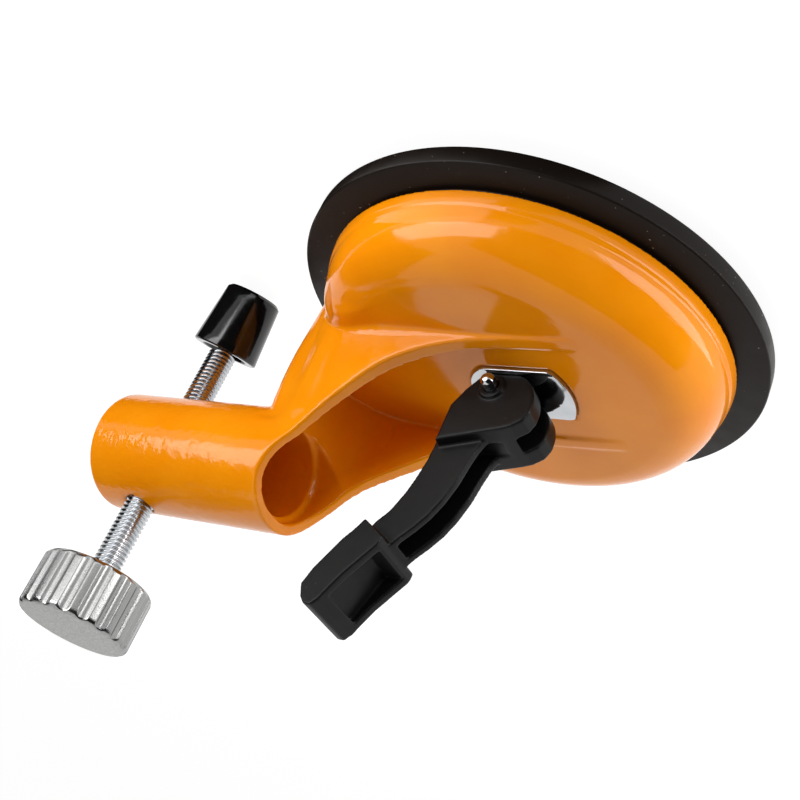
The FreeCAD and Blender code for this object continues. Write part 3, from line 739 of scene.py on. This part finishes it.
# %% Zinc plate
def bright_zinc(name, low, high, grain):
    """A cold mirror; its roughness runs from low to high in patches about grain mm wide."""
    material = empty_material(name)
    place = add_node(material, "ShaderNodeTexCoord").outputs["Object"]
    cloud = add_node(material, "ShaderNodeTexNoise", Vector=place, Scale=per_mm(4), Detail=3.0)
    tone = add_node(material, "ShaderNodeMix", {"data_type": "RGBA"}, socket_0=cloud.outputs["Fac"],
                    socket_6=linear("#B4B7BB"), socket_7=linear("#D0D2D4"))
    streak = add_node(material, "ShaderNodeTexNoise", Vector=place, Scale=per_mm(grain), Detail=4.0)
    gloss = add_node(material, "ShaderNodeMapRange", Value=streak.outputs["Fac"],
                     From_Min=0.3, From_Max=0.7, To_Min=low, To_Max=high)
    skin = add_node(material, "ShaderNodeBump", Height=streak.outputs["Fac"], Distance=0.005 * MM,
                    Strength=1.0)
    shader = add_node(material, "ShaderNodeBsdfPrincipled", Base_Color=tone.outputs[2],
                      Metallic=1.0,
                      Roughness=gloss.outputs["Result"], Normal=skin.outputs["Normal"])
    add_node(material, "ShaderNodeOutputMaterial", Surface=shader.outputs["BSDF"])
    return material


dress(bright_zinc("bright zinc plate on stamped steel", 0.05, 0.12, 1.5), wear_plate)
dress(bright_zinc("zinc plated rolled thread", 0.12, 0.24, 0.6), rod, ball)
dress(bright_zinc("zinc plated turned steel", 0.2, 0.34, 0.6), stem, insert)
dress(bright_zinc("nickel plated pin", 0.08, 0.16, 0.6), rivet)

# %% [markdown]
# ### Cast aluminium
# The knob's face is blasted and flat grey, with grains that catch the light one by one. Its
# scalloped side is smoother and has strong bright and dark bands. The direction a face looks in
# tells them apart.

# %% Cast aluminium
def cast_aluminium():
    """Blasted cast aluminium: matt where it looks up, brighter and smoother on the side."""
    material = empty_material("blasted cast aluminium")
    coordinates = add_node(material, "ShaderNodeTexCoord")
    place = coordinates.outputs["Object"]
    axes = add_node(material, "ShaderNodeSeparateXYZ", Vector=coordinates.outputs["Normal"])
    face = add_node(material, "ShaderNodeMapRange", Value=axes.outputs["Z"],
                    From_Min=0.6, From_Max=0.9)
    speckle = add_node(material, "ShaderNodeTexNoise", Vector=place, Scale=per_mm(0.5), Detail=4.0)
    grey = add_node(material, "ShaderNodeMapRange", Value=speckle.outputs["Fac"],
                    From_Min=0.3, From_Max=0.7)
    dull = add_node(material, "ShaderNodeMix", {"data_type": "RGBA"},
                    socket_0=grey.outputs["Result"],
                    socket_6=linear("#949493"), socket_7=linear("#BBBBB9"))
    colour = add_node(material, "ShaderNodeMix", {"data_type": "RGBA"},
                      socket_0=face.outputs["Result"],
                      socket_6=linear("#989897"), socket_7=dull.outputs[2])
    sheen = add_node(material, "ShaderNodeMapRange", Value=face.outputs["Result"],
                     To_Min=0.24, To_Max=0.5)
    grit = add_node(material, "ShaderNodeTexNoise", Vector=place, Scale=per_mm(0.32), Detail=3.0,
                    Roughness=0.6)
    skin = add_node(material, "ShaderNodeBump", Height=grit.outputs["Fac"], Distance=0.03 * MM,
                    Strength=1.0)
    shader = add_node(material, "ShaderNodeBsdfPrincipled", Base_Color=colour.outputs[2],
                      Metallic=1.0,
                      Roughness=sheen.outputs["Result"], Normal=skin.outputs["Normal"])
    add_node(material, "ShaderNodeOutputMaterial", Surface=shader.outputs["BSDF"])
    return material


dress(cast_aluminium(), knob)

# %% [markdown]
# ## Floor and surroundings
# The floor and the world are white to the eye and in reflections, and plain and pale as a source of
# light. The floor adds what light reaches it, so it keeps a faint shadow of the lifter.

# %% Floor and world
object_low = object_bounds()[0]
floor_level = object_low.z - 0.5 * MM      # the floor lies just under the lowest point


def seen_or_mirrored(owner):
    """1 for a ray from the camera, or one that comes off a glossy or through a clear surface."""
    path = add_node(owner, "ShaderNodeLightPath")
    either = add_node(owner, "ShaderNodeMath", {"operation": "MAXIMUM"},
                      socket_0=path.outputs["Is Camera Ray"],
                      socket_1=path.outputs["Is Glossy Ray"])
    return add_node(owner, "ShaderNodeMath", {"operation": "MAXIMUM"}, socket_0=either.outputs[0],
                    socket_1=path.outputs["Is Transmission Ray"]).outputs[0]


def pale_floor():
    """Nearly white by itself, with a part that the light and the shadow still show on."""
    material = empty_material("pale floor")
    plain = add_node(material, "ShaderNodeBsdfDiffuse", Color=linear("#D0D0D0"))
    white = add_node(material, "ShaderNodeEmission", Color=linear("#FFFFFF"), Strength=0.9)
    veil = add_node(material, "ShaderNodeBsdfDiffuse", Color=linear("#959595"))
    bright = add_node(material, "ShaderNodeAddShader", socket_0=white.outputs[0],
                      socket_1=veil.outputs[0])
    mix = add_node(material, "ShaderNodeMixShader", Fac=seen_or_mirrored(material),
                   socket_1=plain.outputs[0], socket_2=bright.outputs[0])
    add_node(material, "ShaderNodeOutputMaterial", Surface=mix.outputs[0])
    return material


bpy.ops.mesh.primitive_plane_add(size=6, location=(0, 0, floor_level))
floor = bpy.context.object
floor.name = "floor"
floor.data.materials.append(pale_floor())

world = bpy.data.worlds.new("studio")
bpy.context.scene.world = world
world.use_nodes = True
world.node_tree.nodes.clear()
around = add_node(world, "ShaderNodeBackground", Color=(1, 1, 1, 1), Strength=0.28)
backdrop = add_node(world, "ShaderNodeBackground", Color=(1, 1, 1, 1), Strength=1.0)
sky = add_node(world, "ShaderNodeMixShader", Fac=seen_or_mirrored(world),
               socket_1=around.outputs[0], socket_2=backdrop.outputs[0])
add_node(world, "ShaderNodeOutputWorld", Surface=sky.outputs[0])

# %% [markdown]
# ## Lamps
# Five softboxes stand around the lifter, with their lower edges near the floor, so that their light
# also reaches the sides that look down a little. The key, the window and the floor softbox show in
# the gloss: the key is large and far off, and the other two are small and close. The two at the
# side and behind are wide and weak. They only fill the shadows and aren't mirrored. Each one's glow
# is its brightness as seen, where 1 is white, and its power follows from that and its area.

# %% Lamps
def leaning_softbox(name, heading, near, far, low, high, wide, glow, mirrored=True):
    """A softbox that leans from a lower edge, at near and low, to an upper one, at far and high."""
    away = Vector((math.cos(math.radians(heading)), math.sin(math.radians(heading)), 0))
    lower = away * near + UP * (floor_level + low)
    upper = away * far + UP * (floor_level + high)
    slope = upper - lower
    facing = away.cross(UP).cross(slope)
    lamp = bpy.data.lights.new(name, "AREA")
    lamp.shape = "RECTANGLE"
    lamp.size, lamp.size_y = wide, slope.length
    lamp.energy = glow * math.pi * wide * slope.length
    holder = bpy.data.objects.new(name, lamp)
    bpy.context.scene.collection.objects.link(holder)
    turn = facing.to_track_quat("-Z", "Y").to_matrix().to_4x4()
    holder.matrix_world = Matrix.Translation((lower + upper) / 2) @ turn
    holder.visible_camera = False
    holder.visible_glossy = mirrored
    print(f"{name}: {lamp.energy:.2f} W")


leaning_softbox("window_softbox", heading=8, near=0.10, far=0.27, low=0.001, high=0.03, wide=0.16,
                glow=5.2)
leaning_softbox("key_softbox", heading=114, near=0.52, far=0.74, low=0.035, high=0.35, wide=0.61,
                glow=5.4)
leaning_softbox("floor_softbox", heading=107, near=0.07, far=0.26, low=0.001, high=0.045, wide=0.07,
                glow=2.0)
leaning_softbox("side_softbox", heading=-40, near=0.35, far=0.5, low=0.001, high=0.3, wide=0.5,
                glow=1.6, mirrored=False)
leaning_softbox("back_softbox", heading=-115, near=0.55, far=0.2, low=0.001, high=0.6, wide=0.9,
                glow=0.8, mirrored=False)

# %% [markdown]
# Black cards hang above and lie on the floor, out of the eye's sight. Gloss needs something dark to
# reflect: the cards keep blacks black and the orange deep, and give metal its dark bands.

# %% Black cards
MIDDLE = Vector((0, 0, 20 * MM))


def black_card(name, place, wide, tall):
    """A dark card at a place in metres. It faces the lifter's middle, or lies flat on the floor."""
    centre = Vector(place)
    on_floor = centre.z < 10 * MM
    facing = UP if on_floor else (MIDDLE - centre).normalized()
    material = empty_material(name)
    dark = add_node(material, "ShaderNodeBsdfDiffuse", Color=linear("#1A1A1A"))
    add_node(material, "ShaderNodeOutputMaterial", Surface=dark.outputs[0])
    bpy.ops.mesh.primitive_plane_add(size=1)
    card = bpy.context.object
    card.name = name
    turn = facing.to_track_quat("Z", "Y").to_matrix().to_4x4()
    card.matrix_world = Matrix.Translation(centre) @ turn @ Matrix.Diagonal((wide, tall, 1, 1))
    settle(card)
    card.data.materials.append(material)
    card.visible_camera = False
    card.visible_diffuse = False
    card.visible_shadow = False
    print(f"{name}: {wide} x {tall} m")


black_card("front_card", (0.39, 0.23, 0.315), wide=1.7, tall=0.9)
black_card("side_card", (-0.40, 0.12, 0.20), wide=0.38, tall=0.44)
black_card("floor_card", (-0.11, 0.084, floor_level + 0.3 * MM), wide=0.30, tall=0.152)

# %% [markdown]
# ## Camera
# The camera looks down from the front right and is rolled almost upside down, as when the lifter is
# turned over to show its lever.

# %% Camera
AZIMUTH, ELEVATION, ROLL = 50.409, 27.751, 154.596     # degrees
DISTANCE = 0.32706
TARGET = Vector((-0.03693, 0, 0.02451))                # a point in the arm
LENS = 56.66
SHIFT_X, SHIFT_Y = 0.0305, -0.0184


def aim_camera():
    """A camera that looks at the target and is rolled about its own line of sight."""
    azimuth, elevation, roll = (math.radians(a) for a in (AZIMUTH, ELEVATION, ROLL))
    back = Vector((math.cos(azimuth) * math.cos(elevation), math.sin(azimuth) * math.cos(elevation),
                   math.sin(elevation)))
    right = Vector((-math.sin(azimuth), math.cos(azimuth), 0))
    up = back.cross(right)
    across = math.cos(roll) * right - math.sin(roll) * up
    upward = math.sin(roll) * right + math.cos(roll) * up
    camera = bpy.data.objects.new("camera", bpy.data.cameras.new("camera"))
    bpy.context.scene.collection.objects.link(camera)
    turn = Matrix((across, upward, back)).transposed().to_4x4()
    camera.matrix_world = Matrix.Translation(TARGET + back * DISTANCE) @ turn
    camera.data.lens = LENS
    camera.data.shift_x = SHIFT_X
    camera.data.shift_y = SHIFT_Y
    camera.data.clip_start = 0.01
    return camera


bpy.context.scene.camera = aim_camera()
bpy.context.scene.view_settings.view_transform = "Standard"
print("camera", bpy.context.scene.camera.location, "lens", LENS, "mm")
